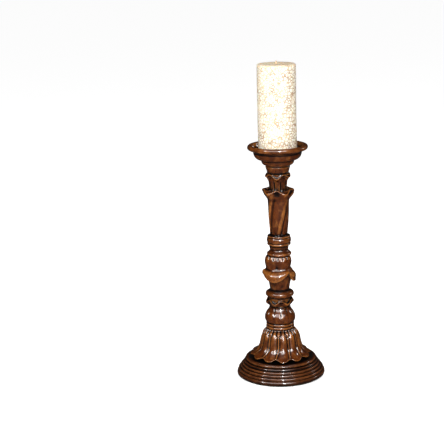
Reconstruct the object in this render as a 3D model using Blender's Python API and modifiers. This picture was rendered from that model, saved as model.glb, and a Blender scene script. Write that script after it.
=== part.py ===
"""A carved and turned hardwood candlestick with a drip pan, a brass pricket and a pillar candle.

Every section is turned about +Z and stands on the one below it. A round spigot under each section
sits in a socket in the top of the next, plain rings are threaded on the spigots, and a steel rod
from the plinth to the pricket clamps the stack. The underside of the felt lies at z = 0.
Angles run round the stick from its front, which faces -Y, and grow towards +X.
"""

import math

import bmesh
import bpy

UNIT = 0.001  # the sizes below are in millimetres, and the model is in metres

# Driving dimensions
BASE_RADIUS = 88.3
PAN_RADIUS = 59.5
STICK_HEIGHT = 469.8
CANDLE_RADIUS = 38.0
CANDLE_HEIGHT = 165.0
GAP = 0.3  # between faces that touch or fit into each other
OVERSHOOT = 4.0  # how far a cutter runs past the face it cuts

# Heights at which the sections of the stick start, bottom to top
PLINTH_SEAT = 2.0
BELL_SEAT = 39.0
COLLAR_SEAT = 98.0
BULB_SEAT = 110.4
LOWER_LEAF_SEAT = 145.0
RING_SEAT = 160.2
SLEEVE_SEAT = 176.6
CAVETTO_SEAT = 248.0
BEADS_SEAT = 262.6
TWIST_SEAT = 289.4
FLUTES_SEAT = 371.0
PAN_NECK_SEAT = 403.6
PAN_SEAT = 428.3
PAN_DEPTH = 9.3
PAN_FLOOR = STICK_HEIGHT - PAN_DEPTH
PLATE_THICKNESS = 1.2
PLATE_TOP = PAN_FLOOR + GAP + PLATE_THICKNESS
CANDLE_SEAT = PLATE_TOP + GAP

# Joints between the sections
SPIGOT_RADIUS = 11.0
COLLAR_SPIGOT_RADIUS = 14.0
BELL_SPIGOT_RADIUS = 24.0
SPIGOT_DEPTH = 11.0
PAN_SPIGOT_DEPTH = 10.0
BELL_SPIGOT_DEPTH = 9.0

# Felt, tie rod, its nut, and the pricket
FELT_RADIUS = 83.0
ROD_RADIUS = 4.0
ROD_BORE = ROD_RADIUS + GAP
RECESS_RADIUS = 21.0
RECESS_TOP = 17.0
WASHER_RADIUS = 14.0
WASHER_THICKNESS = 2.0
NUT_ACROSS_CORNERS = 15.0
NUT_HEIGHT = 6.5
ROD_BOTTOM = 6.0
BARREL_RADIUS = 8.0
BARREL_HEIGHT = 14.0
THREAD_DEPTH = 10.0
SPIKE_RADIUS = 2.5
SPIKE_HEIGHT = 22.0
SPIKE_POINT = 11.0
PLATE_RADIUS = 30.0
PLATE_SCREWS = 3
PLATE_SCREW_CIRCLE = 20.0
SCREW_RADIUS = 1.5
SCREW_HEAD_RADIUS = 3.0
SCREW_LENGTH = 7.0
WICK_RADIUS = 1.2
WICK_SHOWN = 4.0
CANDLE_EDGE = 2.5
PAN_RIM = 4.9

# Carving: how many lobes run round each carved section, and the angle of one of them in degrees
BELL_LOBES, BELL_PHASE = 12, 5
BULB_LOBES, BULB_PHASE = 6, 1
LEAF_LOBES, LOWER_LEAF_PHASE = 6, 33
SLEEVE_LOBES, SLEEVE_PHASE = 3, -21
STEM_LEAF_PHASE = 22
SMALL_LEAF_PHASE = -8
TWIST_RIDGES, TWIST_PHASE = 5, 46
TWIST_PER_MM = 0.56

# Segments round each piece
WIDE = 36
NARROW = 24
SMALL = 12
PER_LOBE = 4


# Outlines: lists of (radius, height) that run down the outside of a piece

def bead(root, crest, high, low, steps=3):
    """A round moulding that stands out from radius root to radius crest."""
    points = []
    for i in range(steps + 1):
        angle = math.pi * (0.5 - i / steps)
        height = (high + low) / 2 + (high - low) / 2 * math.sin(angle)
        points.append((root + (crest - root) * math.cos(angle), height))
    return points


def quarter(top, bottom, steps=3):
    """A quarter round, an ovolo, that is upright at the point top and level at the point bottom."""
    points = []
    for i in range(steps + 1):
        angle = math.pi / 2 * i / steps
        radius = bottom[0] + (top[0] - bottom[0]) * math.cos(angle)
        points.append((radius, top[1] + (bottom[1] - top[1]) * math.sin(angle)))
    return points


def section(outer, spigot_radius=SPIGOT_RADIUS, spigot=0.0, socket_radius=SPIGOT_RADIUS, socket=0.0):
    """Closes an outline with a spigot below, a socket above and the bore for the tie rod."""
    high, low = outer[0][1], outer[-1][1]
    foot, head = low - spigot, high - socket
    inner = []
    if spigot:
        inner += [(spigot_radius, low), (spigot_radius, foot)]
    inner += [(ROD_BORE, foot), (ROD_BORE, head)]
    if socket:
        inner += [(socket_radius + GAP, head), (socket_radius + GAP, high)]
    return outer + inner


def ring(outer, bore=SPIGOT_RADIUS + GAP):
    """Closes an outline with a plain bore that slides over a spigot."""
    return outer + [(bore, outer[-1][1]), (bore, outer[0][1])]


# Building

def remove_startup_objects():
    for item in list(bpy.data.objects):
        bpy.data.objects.remove(item)


def new_collection(name):
    collection = bpy.data.collections.new(name)
    bpy.context.scene.collection.children.link(collection)
    return collection


def new_material(name, colour, roughness, metallic=0.0):
    material = bpy.data.materials.new(name)
    material.use_nodes = True
    shader = material.node_tree.nodes["Principled BSDF"]
    shader.inputs["Base Color"].default_value = (*colour, 1.0)
    shader.inputs["Roughness"].default_value = roughness
    shader.inputs["Metallic"].default_value = metallic
    return material


def turned(name, outline, segments, material, closed=True):
    """Turns an outline about +Z with a Screw modifier. An open outline ends on the axis."""
    mesh = bpy.data.meshes.new(name)
    points = [(radius * UNIT, 0, height * UNIT) for radius, height in outline]
    edges = [(i, i + 1) for i in range(len(points) - 1)]
    if closed:
        edges.append((len(points) - 1, 0))
    mesh.from_pydata(points, edges, [])
    piece = bpy.data.objects.new(name, mesh)
    PARTS.objects.link(piece)
    screw = piece.modifiers.new("Turn", "SCREW")
    screw.axis = "Z"
    screw.steps = screw.render_steps = segments
    screw.use_merge_vertices = True
    screw.merge_threshold = 0.00001
    screw.use_smooth_shade = True
    piece.data.materials.append(material)
    piece.parent = STICK_AXIS
    return piece


def made_solid(piece):
    """Replaces a piece's outline and modifier by the mesh that they make."""
    graph = bpy.context.evaluated_depsgraph_get()
    mesh = bpy.data.meshes.new_from_object(piece.evaluated_get(graph))
    piece.modifiers.clear()
    piece.data = mesh
    return mesh


def carved(piece, relief, inside=SPIGOT_RADIUS + 2 * GAP):
    """Moves the outer surface of a turned piece by relief(radius, angle, height)."""
    mesh = made_solid(piece)
    for vertex in mesh.vertices:
        x, y, z = (value / UNIT for value in vertex.co)
        radius, angle = math.hypot(x, y), math.atan2(x, -y)
        if radius > inside:
            radius, z = relief(radius, angle, z)
            vertex.co = (radius * math.sin(angle) * UNIT, -radius * math.cos(angle) * UNIT, z * UNIT)
    mesh.shade_smooth()
    mesh.set_sharp_from_angle(angle=math.radians(50))
    return piece


def wave(angle, lobes, phase):
    return math.cos(lobes * (angle - math.radians(phase)))


def ramp(value, start, end):
    """Rises smoothly from 0 at start to 1 at end."""
    t = min(1, max(0, (value - start) / (end - start)))
    return t * t * (3 - 2 * t)


def swell(value, start, end):
    """A smooth hump between start and end."""
    return ramp(value, start, start + (end - start) / 3) * ramp(-value, -end, -end + (end - start) / 3)


# Carving

def bell_relief(radius, angle, height):
    """Gadroons that open into a scalloped lip, low at each lobe and high between lobes."""
    lobe = wave(angle, BELL_LOBES, BELL_PHASE)
    lip = ramp(radius, 44, 59)
    radius += 1.3 * lobe * swell(height, 44, 97) * (1 - lip) + 3 * (lobe - 1) * lip
    return radius, height - 5.5 * (lobe - 1) * lip


def bulb_relief(radius, angle, height):
    return radius + 0.6 * wave(angle, BULB_LOBES, BULB_PHASE) * swell(height, 112, 142), height


def lower_leaf_relief(radius, angle, height):
    lobe = wave(angle, LEAF_LOBES, LOWER_LEAF_PHASE)
    lip = ramp(radius, 22.5, 27)
    return radius + 1.2 * lobe * lip, height - 2.8 * lobe * lip


def sleeve_relief(radius, angle, height):
    """Three lobes round the tulip, and a skirt that dips under each of them."""
    lobe = wave(angle, SLEEVE_LOBES, SLEEVE_PHASE)
    lip = ramp(radius, 27.5, 34)
    body = swell(height, 214, 247)
    return radius - 1.8 * lobe * body * (1 - lip), height - 7.5 * lobe * lip


def twist_relief(radius, angle, height):
    """Ridges that climb round the stem and end in leaf tips that curl outwards."""
    climb = TWIST_PER_MM * (FLUTES_SEAT - height)
    ridge = wave(angle, TWIST_RIDGES, TWIST_PHASE - climb)
    tip = wave(angle, LEAF_LOBES, STEM_LEAF_PHASE)
    lip = ramp(radius, 26, 32.5)
    radius += 0.8 * ridge * swell(height, 290, 368) * (1 - lip) + 2.6 * (tip - 1) * lip
    return radius, height - 3.2 * tip * lip


def flutes_relief(radius, angle, height):
    """Flutes round the neck and a small leaf lip at its top."""
    tip = wave(angle, LEAF_LOBES, SMALL_LEAF_PHASE)
    lip = ramp(radius, 21.5, 25)
    radius += 0.5 * tip * swell(height, 373, 402) + 1.2 * (tip - 1) * lip
    return radius, height - 3.0 * tip * lip


# Wooden sections

def make_base_plinth():
    deck = BELL_SEAT - GAP
    spigot = BELL_SPIGOT_RADIUS + GAP
    socket_floor = BELL_SEAT - BELL_SPIGOT_DEPTH - GAP
    outline = [(spigot, deck)]
    outline += bead(66, 70.5, deck, 32.2)
    outline += bead(75.6, 77.2, 32, 27, 2) + bead(78.8, 80.4, 26.8, 22, 2)
    outline += bead(81.8, 83.3, 21.8, 16.6, 2) + bead(84.4, 86, 16.4, 11, 2)
    outline += bead(84.6, BASE_RADIUS, 10.8, PLINTH_SEAT, 4)
    outline += [(RECESS_RADIUS, PLINTH_SEAT), (RECESS_RADIUS, RECESS_TOP)]
    outline += [(ROD_BORE, RECESS_TOP), (ROD_BORE, socket_floor), (spigot, socket_floor)]
    return turned("base_plinth", outline, WIDE, DARK_WOOD)


def make_base_bell():
    top = COLLAR_SEAT - GAP
    outer = [(27, top), (31.5, 93), (36.6, 87), (39.4, 79), (41.2, 71), (43, 64), (45.5, 58)]
    outer += [(50, 52), (55.5, 46.8), (60, 43), (58.5, 41.5), (51, 43.5), (44, 42.5), (38, BELL_SEAT)]
    socket = SPIGOT_DEPTH + GAP
    outline = section(outer, BELL_SPIGOT_RADIUS, BELL_SPIGOT_DEPTH, COLLAR_SPIGOT_RADIUS, socket)
    bell = turned("base_bell", outline, PER_LOBE * BELL_LOBES, WOOD)
    return carved(bell, bell_relief, BELL_SPIGOT_RADIUS + GAP)


def make_bead_collar():
    middle = (COLLAR_SEAT + BULB_SEAT) / 2
    outer = bead(25.5, 28, BULB_SEAT - GAP, middle) + bead(25.5, 28.2, middle, COLLAR_SEAT)[1:]
    return turned("bead_collar", ring(outer, COLLAR_SPIGOT_RADIUS + GAP), NARROW, WOOD)


def make_bulb_knop():
    outer = [(21, LOWER_LEAF_SEAT - GAP), (21.3, 141), (24, 136.5), (27.4, 131.6), (29.7, 126.5)]
    outer += [(30.4, 121.5), (29.6, 116), (27.4, BULB_SEAT + 0.4), (26, BULB_SEAT)]
    spigot = BULB_SEAT - COLLAR_SEAT + SPIGOT_DEPTH
    outline = section(outer, COLLAR_SPIGOT_RADIUS, spigot, SPIGOT_RADIUS, SPIGOT_DEPTH + GAP)
    return carved(turned("bulb_knop", outline, NARROW, WOOD), bulb_relief)


def make_lower_leaf_collar():
    top = RING_SEAT - GAP
    outer = [(20.5, top), (21, 153.2), (24.8, 155.4), (27.4, 156.2), (27.8, 154.4), (26.6, 150.6)]
    outer += [(23.5, 147), (21.2, LOWER_LEAF_SEAT)]
    return carved(turned("lower_leaf_collar", ring(outer), NARROW, WOOD), lower_leaf_relief)


def make_stem_ring():
    outer = bead(22, 28.4, SLEEVE_SEAT - GAP, RING_SEAT, 6)
    return turned("stem_ring", ring(outer), NARROW, WOOD)


def make_leaf_sleeve():
    outer = [(24.3, CAVETTO_SEAT - GAP), (26, 244), (27.3, 238), (26.6, 231), (25.6, 225), (27, 219.5)]
    outer += [(31, 213.5), (34.6, 207), (34, 205.4), (29.5, 209), (24.5, 209.5), (21.8, 201)]
    outer += [(20.8, 191), (19.4, 182), (19.3, SLEEVE_SEAT)]
    spigot = SLEEVE_SEAT - LOWER_LEAF_SEAT + SPIGOT_DEPTH
    outline = section(outer, spigot=spigot, socket=SPIGOT_DEPTH + GAP)
    return carved(turned("leaf_sleeve", outline, NARROW, WOOD), sleeve_relief)


def make_cavetto_collar():
    outer = [(18.6, BEADS_SEAT - GAP), (18.4, 260), (19.6, 257.6), (21.5, 255.4), (23.8, 253.4)]
    outer += [(24.2, 251.2), (23.4, CAVETTO_SEAT)]
    return turned("cavetto_collar", ring(outer), NARROW, WOOD)


def make_bead_ring():
    outer = [(18.8, TWIST_SEAT - GAP)] + bead(20.4, 22.9, 288.9, 284.7)
    outer += bead(22, 24.2, 284.5, 274.1, 4) + bead(21.4, 23.5, 273.7, 269.1)
    outer += [(20, 268), (19.2, 266), (18.9, BEADS_SEAT)]
    return turned("bead_ring", ring(outer), NARROW, WOOD)


def make_twisted_stem():
    outer = [(18.6, FLUTES_SEAT), (24, 372.5), (30, 378.2), (32.8, 379.4), (33.6, 377.2), (31.2, 370)]
    outer += [(27, 365.6), (24.4, 361), (22.6, 353), (21.2, 344), (20.8, 333), (20, 322), (18.8, 312)]
    outer += [(17.7, 302), (17, 294), (16.9, TWIST_SEAT)]
    cup = section(outer, spigot=TWIST_SEAT - CAVETTO_SEAT + SPIGOT_DEPTH, socket=SPIGOT_DEPTH + GAP)
    return carved(turned("twisted_stem", cup, NARROW, WOOD), twist_relief)


def make_fluted_neck():
    outer = [(18.8, PAN_NECK_SEAT - GAP), (22.6, 407), (25, 409.6), (25.8, 407.4), (24.6, 404)]
    outer += [(21.2, 401), (18.6, 395), (17.6, 388), (17.1, 380), (17.1, FLUTES_SEAT + GAP)]
    outline = section(outer, spigot=SPIGOT_DEPTH, socket=PAN_SPIGOT_DEPTH + GAP)
    return carved(turned("fluted_neck", outline, NARROW, WOOD), flutes_relief)


def make_pan_neck():
    outer = [(23.6, PAN_SEAT - GAP), (24.2, 426.6), (21.2, 416), (18.2, PAN_NECK_SEAT)]
    outline = section(outer, spigot=PAN_SPIGOT_DEPTH, socket=PAN_SPIGOT_DEPTH + GAP)
    return turned("pan_neck", outline, NARROW, WOOD)


def make_drip_pan():
    """A dish with a round rim on two ovolo steps, bored for the barrel of the pricket."""
    outline = [(BARREL_RADIUS + GAP, PAN_FLOOR), (47.1, PAN_FLOOR), (49.8, PAN_FLOOR + 5.4)]
    outline += rim_arc(155, -76, 7)
    outline += [(48.5, 456.4)] + quarter((47.6, 454.9), (34.4, 440.7), 4)
    outline += quarter((32.6, 439.7), (26.4, 430.5), 3) + [(23.4, PAN_SEAT)]
    foot = PAN_SEAT - PAN_SPIGOT_DEPTH
    seat = PAN_FLOOR - BARREL_HEIGHT - GAP
    outline += [(SPIGOT_RADIUS, PAN_SEAT), (SPIGOT_RADIUS, foot), (ROD_BORE, foot)]
    outline += [(ROD_BORE, seat), (BARREL_RADIUS + GAP, seat)]
    pan = turned("drip_pan", outline, WIDE, WOOD)
    made_solid(pan)
    radius = SCREW_RADIUS + GAP
    for i in range(PLATE_SCREWS):
        low, high = PAN_FLOOR - SCREW_LENGTH, PAN_FLOOR + OVERSHOOT
        cut_hole(pan, f"pilot_hole_{i + 1}", screw_place(i), low, high, radius, radius)
    return pan


def rim_arc(start, end, steps):
    """The round rim of the pan, from angle start to angle end in degrees, where 90 is up."""
    points = []
    for i in range(steps + 1):
        angle = math.radians(start + (end - start) * i / steps)
        radius = PAN_RADIUS - PAN_RIM + PAN_RIM * math.cos(angle)
        points.append((radius, STICK_HEIGHT - PAN_RIM + PAN_RIM * math.sin(angle)))
    return points


# Metal, felt and wax

def screw_place(i):
    angle = 2 * math.pi * (i + 0.5) / PLATE_SCREWS
    return PLATE_SCREW_CIRCLE * math.sin(angle), -PLATE_SCREW_CIRCLE * math.cos(angle)


def cut_hole(piece, name, place, low, high, low_radius, high_radius):
    """Cuts an upright round or conical hole at place (x, y), from height low to height high."""
    mesh = bpy.data.meshes.new(name)
    shape = bmesh.new()
    bmesh.ops.create_cone(shape, cap_ends=True, segments=SMALL, radius1=low_radius * UNIT,
                          radius2=high_radius * UNIT, depth=(high - low) * UNIT)
    shape.to_mesh(mesh)
    shape.free()
    cutter = bpy.data.objects.new(name, mesh)
    CUTTERS.objects.link(cutter)
    cutter.location = (place[0] * UNIT, place[1] * UNIT, (low + high) / 2 * UNIT)
    cutter.hide_render = True
    cutter.display_type = "WIRE"
    boolean = piece.modifiers.new(f"Cut {name}", "BOOLEAN")
    boolean.operation = "DIFFERENCE"
    boolean.object = cutter


def make_felt_pad():
    high = PLINTH_SEAT - GAP
    outline = [(0, high), (FELT_RADIUS, high), (FELT_RADIUS, 0), (0, 0)]
    return turned("felt_pad", outline, NARROW, FELT, closed=False)


def make_base_washer():
    low, high = RECESS_TOP - GAP - WASHER_THICKNESS, RECESS_TOP - GAP
    outline = [(WASHER_RADIUS, high), (WASHER_RADIUS, low), (ROD_BORE, low), (ROD_BORE, high)]
    return turned("base_washer", outline, SMALL, STEEL)


def make_base_nut():
    high = RECESS_TOP - 2 * GAP - WASHER_THICKNESS
    outline = [(0, high), (NUT_ACROSS_CORNERS / 2, high), (NUT_ACROSS_CORNERS / 2, high - NUT_HEIGHT)]
    nut = turned("base_nut", outline + [(0, high - NUT_HEIGHT)], 6, STEEL, closed=False)
    made_solid(nut)
    cut_hole(nut, "nut_bore", (0, 0), high - NUT_HEIGHT - OVERSHOOT, high + OVERSHOOT, ROD_BORE, ROD_BORE)
    return nut


def make_tie_rod():
    high = PAN_FLOOR - BARREL_HEIGHT + THREAD_DEPTH - 2 * GAP
    outline = [(0, high), (ROD_RADIUS, high), (ROD_RADIUS, ROD_BOTTOM), (0, ROD_BOTTOM)]
    return turned("tie_rod", outline, SMALL, STEEL, closed=False)


def make_pricket_plate():
    """A disc that keeps the spike's barrel in the pan, with countersunk holes for its screws."""
    low, high, bore = PLATE_TOP - PLATE_THICKNESS, PLATE_TOP, SPIKE_RADIUS + GAP
    outline = [(PLATE_RADIUS, high), (PLATE_RADIUS, low), (bore, low), (bore, high)]
    plate = turned("pricket_plate", outline, NARROW, BRASS)
    made_solid(plate)
    flare = (SCREW_HEAD_RADIUS - SCREW_RADIUS) / PLATE_THICKNESS * GAP
    for i in range(PLATE_SCREWS):
        bottom, top = SCREW_RADIUS + GAP - flare, SCREW_HEAD_RADIUS + GAP + flare
        cut_hole(plate, f"plate_hole_{i + 1}", screw_place(i), low - GAP, high + GAP, bottom, top)
    return plate


def make_plate_screw(i):
    """A countersunk screw whose conical head fills the plate's hole and whose shank is in the pan."""
    foot = PAN_FLOOR - SCREW_LENGTH + 2 * GAP
    outline = [(0, PLATE_TOP), (SCREW_HEAD_RADIUS, PLATE_TOP), (SCREW_RADIUS, PLATE_TOP - PLATE_THICKNESS)]
    outline += [(SCREW_RADIUS, foot + SCREW_RADIUS), (0, foot)]
    screw = turned(f"plate_screw_{i + 1}", outline, SMALL, BRASS, closed=False)
    x, y = screw_place(i)
    screw.location = (x * UNIT, y * UNIT, 0)
    return screw


def make_pricket_spike():
    """A spike on a barrel whose threaded hole takes the top of the tie rod."""
    low, high = PAN_FLOOR - BARREL_HEIGHT, PAN_FLOOR
    tip = PLATE_TOP + SPIKE_HEIGHT
    thread_top = low + THREAD_DEPTH
    outline = [(0, tip), (SPIKE_RADIUS, tip - SPIKE_POINT), (SPIKE_RADIUS, high), (BARREL_RADIUS, high)]
    outline += [(BARREL_RADIUS, low), (ROD_BORE, low), (ROD_BORE, thread_top), (0, thread_top)]
    return turned("pricket_spike", outline, SMALL, BRASS, closed=False)


def make_candle_body():
    """A pillar with a softly rounded top edge, a hole for the spike and a fine one for the wick."""
    top = CANDLE_SEAT + CANDLE_HEIGHT
    spike_hole = CANDLE_SEAT + SPIKE_HEIGHT + 1
    outline = [(WICK_RADIUS + GAP, top)] + rounded_edge(CANDLE_RADIUS, top, CANDLE_EDGE)
    outline += [(CANDLE_RADIUS, CANDLE_SEAT + 1), (CANDLE_RADIUS - 1, CANDLE_SEAT)]
    outline += [(SPIKE_RADIUS + GAP, CANDLE_SEAT), (SPIKE_RADIUS + GAP, spike_hole)]
    outline += [(WICK_RADIUS + GAP, spike_hole)]
    return turned("candle_body", outline, NARROW, WAX)


def rounded_edge(radius, top, edge, steps=3):
    """The rounded edge of a pillar, from its level top to its upright side."""
    points = []
    for i in range(steps + 1):
        angle = math.pi / 2 * i / steps
        points.append((radius - edge + edge * math.sin(angle), top - edge + edge * math.cos(angle)))
    return points


def make_candle_wick():
    low = CANDLE_SEAT + SPIKE_HEIGHT + 2
    high = CANDLE_SEAT + CANDLE_HEIGHT + WICK_SHOWN
    outline = [(0, high), (WICK_RADIUS, high - 0.6), (WICK_RADIUS, low), (0, low)]
    return turned("candle_wick", outline, 8, COTTON, closed=False)


def make_candlestick():
    make_felt_pad()
    make_base_plinth()
    make_base_bell()
    make_bead_collar()
    make_bulb_knop()
    make_lower_leaf_collar()
    make_stem_ring()
    make_leaf_sleeve()
    make_cavetto_collar()
    make_bead_ring()
    make_twisted_stem()
    make_fluted_neck()
    make_pan_neck()
    make_drip_pan()
    make_tie_rod()
    make_base_washer()
    make_base_nut()
    make_pricket_plate()
    for i in range(PLATE_SCREWS):
        make_plate_screw(i)
    make_pricket_spike()


def make_candle():
    """The candle and its wick hang on their own empty, which lifts along +Z."""
    lift = bpy.data.objects.new("candle_lift", None)
    PARTS.objects.link(lift)
    for piece in (make_candle_body(), make_candle_wick()):
        piece.parent = lift


remove_startup_objects()
PARTS = new_collection("wooden_candlestick")
CUTTERS = new_collection("cutters")
STICK_AXIS = bpy.data.objects.new("stick_axis", None)
PARTS.objects.link(STICK_AXIS)
WOOD = new_material("glazed_wood", (0.19, 0.055, 0.012), 0.25)
DARK_WOOD = new_material("dark_glazed_wood", (0.09, 0.022, 0.006), 0.22)
BRASS = new_material("brass", (0.72, 0.48, 0.16), 0.3, 1.0)
STEEL = new_material("steel", (0.5, 0.5, 0.52), 0.35, 1.0)
FELT = new_material("felt", (0.02, 0.06, 0.03), 0.95)
WAX = new_material("crackled_wax", (0.93, 0.84, 0.68), 0.5)
COTTON = new_material("wick_cotton", (0.12, 0.1, 0.08), 0.9)
make_candlestick()
make_candle()
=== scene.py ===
"""The looks of the carved candlestick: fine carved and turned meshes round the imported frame,
glazed wood, crackled wax, brass, steel and felt, on a white studio floor.

Outlines are lists of (radius, height) in millimetres. Most heights are above the seat of their own
section, which comes from the frame. Angles run round the stick from its front, -Y, towards +X.
"""
import math

import bmesh
import bpy
import numpy as np
from mathutils import Matrix, Vector


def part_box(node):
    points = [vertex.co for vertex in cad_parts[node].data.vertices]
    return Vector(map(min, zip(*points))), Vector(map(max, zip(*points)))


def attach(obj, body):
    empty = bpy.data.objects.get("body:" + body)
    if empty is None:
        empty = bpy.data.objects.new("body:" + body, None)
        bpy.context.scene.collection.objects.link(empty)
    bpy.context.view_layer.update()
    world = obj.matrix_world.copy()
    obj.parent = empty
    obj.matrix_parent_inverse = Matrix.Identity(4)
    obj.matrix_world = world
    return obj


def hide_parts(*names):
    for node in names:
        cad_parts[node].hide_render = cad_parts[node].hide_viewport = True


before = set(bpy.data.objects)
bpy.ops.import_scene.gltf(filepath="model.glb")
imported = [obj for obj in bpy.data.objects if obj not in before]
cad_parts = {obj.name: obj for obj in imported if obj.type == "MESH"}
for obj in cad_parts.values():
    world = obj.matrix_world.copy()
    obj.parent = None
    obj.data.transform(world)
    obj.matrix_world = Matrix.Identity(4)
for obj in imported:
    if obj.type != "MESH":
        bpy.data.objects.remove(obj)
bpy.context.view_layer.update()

MM = 0.001
TURN = 2 * math.pi

# The joints between the sections, as the design has them
GAP = 0.3
SPIGOT = 11.0
COLLAR_SPIGOT = 14.0
BELL_SPIGOT = 24.0
ROD_BORE = 4.3
SOCKET_DEPTH = 11.3
BELL_SPIGOT_LENGTH = 9.0
PAN_SPIGOT_LENGTH = 10.0

CANDLE_RADIUS = 38.0

# Fineness of the meshes
STEP = 0.7      # spacing of points along a carved outline
PLAIN = 240     # points round a plain turned piece
FINE = 420      # points round a carved piece


# ---------------------------------------------------------------- heights from the frame

def low(node):
    """The height of a node's underside, in millimetres."""
    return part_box(node)[0][2] / MM


def high(node):
    """The height of a node's top, in millimetres."""
    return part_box(node)[1][2] / MM


# ---------------------------------------------------------------- outlines

def fair(points, step=STEP):
    """A smooth curve through the points, with a new point about every step."""
    p = np.array(points, float)
    p = np.vstack([2 * p[0] - p[1], p, 2 * p[-1] - p[-2]])
    rows = []
    for a, b, c, d in zip(p, p[1:], p[2:], p[3:]):
        count = max(1, round(np.linalg.norm(c - b) / step))
        for t in np.arange(count) / count:
            rows.append(0.5 * (2 * b + (c - a) * t + (2 * a - 5 * b + 4 * c - d) * t**2
                               + (3 * b - a - 3 * c + d) * t**3))
    rows.append(p[-2])
    return [tuple(row) for row in rows]


def bead(root, crest, top, bottom, steps=16):
    """A round moulding that stands out from radius root to radius crest."""
    angles = np.linspace(math.pi / 2, -math.pi / 2, steps + 1)
    middle, half = (top + bottom) / 2, (top - bottom) / 2
    return [(root + (crest - root) * math.cos(a), middle + half * math.sin(a)) for a in angles]


def ovolo(top, bottom, steps=16):
    """A quarter round, upright at the point top and level at the point bottom."""
    angles = np.linspace(0, math.pi / 2, steps + 1)
    width, drop = top[0] - bottom[0], bottom[1] - top[1]
    return [(bottom[0] + width * math.cos(a), top[1] + drop * math.sin(a)) for a in angles]


def arc(centre, radius, start, end, steps):
    """Part of a circle, from angle start to angle end in degrees, where 90 is up."""
    angles = np.radians(np.linspace(start, end, steps + 1))
    return [(centre[0] + radius * math.cos(a), centre[1] + radius * math.sin(a)) for a in angles]


def leafy(tips, hollows, step=0.5):
    """A smooth outline through the tips of a row of leaves, paired with one through the hollows."""
    return fair([(*a, *b) for a, b in zip(tips, hollows)], step)


def raised(outline, seat):
    """Lifts an outline, plain or leafy, by the height of its seat."""
    return [tuple(value + seat * (i % 2) for i, value in enumerate(row)) for row in outline]


def with_spigot(outer, seat, spigot, spigot_radius=SPIGOT, socket_radius=SPIGOT, socket=SOCKET_DEPTH):
    """Closes an outline with the spigot below, the bore for the rod and the socket above."""
    foot, head = seat - spigot, outer[0][1] - socket
    inner = [(spigot_radius, seat), (spigot_radius, foot), (ROD_BORE, foot), (ROD_BORE, head)]
    return outer + inner + [(socket_radius + GAP, head), (socket_radius + GAP, outer[0][1])]


def sleeved(outer, bore=SPIGOT + GAP):
    """Closes an outline with a plain bore."""
    return outer + [(bore, outer[-1][1]), (bore, outer[0][1])]


# ---------------------------------------------------------------- shape functions

def wave(angle, lobes, phase):
    """A cosine with so many lobes round the turn, the first of them at phase degrees."""
    return np.cos(lobes * (angle - np.radians(phase)))


def ramp(value, start, end):
    """Rises smoothly from 0 at start to 1 at end."""
    t = np.clip((value - start) / (end - start), 0, 1)
    return t * t * (3 - 2 * t)


def hump(value, start, end, ease=0.33):
    """1 between start and end, easing to 0 at both."""
    width = (end - start) * ease
    return ramp(value, start, start + width) * (1 - ramp(value, end - width, end))


def in_lobe(angle, lobes, phase):
    """How far round its lobe each angle lies, from -0.5 to 0.5, with 0 on the lobe's centre."""
    turns = lobes * (angle - np.radians(phase)) / TURN
    return turns - np.round(turns)


def dome(distance, half_width, power=0.5):
    """A rounded ridge: 1 at distance 0, falling to 0 at half_width."""
    return np.clip(1 - (distance / half_width) ** 2, 0, 1) ** power


def bell_curve(distance, width):
    return np.exp(-(distance / width) ** 2)


def by_hand(angle, height, amount):
    """The slight unevenness of carving by hand, in millimetres."""
    waves = ((3, 0.11, 0.4), (5, -0.19, 2.1), (8, 0.27, 4.0), (12, -0.16, 5.2))
    return amount * sum(np.sin(n * angle + k * height + s) for n, k, s in waves) / 2


# ---------------------------------------------------------------- meshes

def grid_normals(points):
    """The normal at each point of a grid whose rows and columns both close on themselves."""
    down = np.roll(points, -1, 0) - np.roll(points, 1, 0)
    along = np.roll(points, -1, 1) - np.roll(points, 1, 1)
    normals = np.cross(down, along)
    return normals / np.maximum(np.linalg.norm(normals, axis=-1, keepdims=True), 1e-9)


def hollow_values(points, spacing_around):
    """From 0 on a sharp ridge, through 0.5 on a plain surface, to 1 in a deep hollow.

    The turned outline itself counts less than the carving, the more so over the wider reach.
    """
    normals = grid_normals(points)
    total = 0
    for reach, weight, turned in ((1.2, 0.5, 0.8), (3.0, 0.8, 0.25)):
        for axis, spacing in ((0, STEP), (1, spacing_around)):
            count = max(1, round(reach / spacing))
            before, after = np.roll(points, count, axis), np.roll(points, -count, axis)
            span = np.linalg.norm(after - before, axis=-1) / 2
            depth = (((before + after) / 2 - points) * normals).sum(-1)
            bend = np.clip(weight * depth * reach / np.maximum(span, 0.3) ** 2, -0.5, 0.5)
            total = total + bend - (1 - turned) * bend.mean(1, keepdims=True)
    return np.clip(0.5 + total, 0, 1)


def joints(*places):
    """Dark glaze that has gathered at joints, given as (height, reach)."""
    return lambda radius, height: sum(0.4 * bell_curve(height - z, reach) for z, reach in places)


def ring_mesh(name, points, tone=None):
    """A closed mesh from rows of points that run round the axis, the last row meeting the first.

    The tone darkens or lightens the glaze by radius and height, and on some pieces paints shade and
    light.
    """
    rows, columns = points.shape[:2]
    index = np.arange(rows * columns).reshape(rows, columns)
    below = np.roll(index, -1, 0)
    corners = np.stack([index, below, np.roll(below, -1, 1), np.roll(index, -1, 1)], -1).reshape(-1, 4)
    mesh = bpy.data.meshes.new(name)
    mesh.from_pydata((points * MM).reshape(-1, 3).tolist(), [], corners.tolist())
    spacing = np.linalg.norm(points[:, :, :2], axis=-1).max() * TURN / columns
    values = hollow_values(points, spacing)
    if tone:
        values = values + tone(np.hypot(points[:, :, 0], points[:, :, 1]), points[:, :, 2])
    values = values.reshape(-1).astype(np.float32)
    mesh.attributes.new("hollow", "FLOAT", "POINT").data.foreach_set("value", values)
    return mesh


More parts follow.
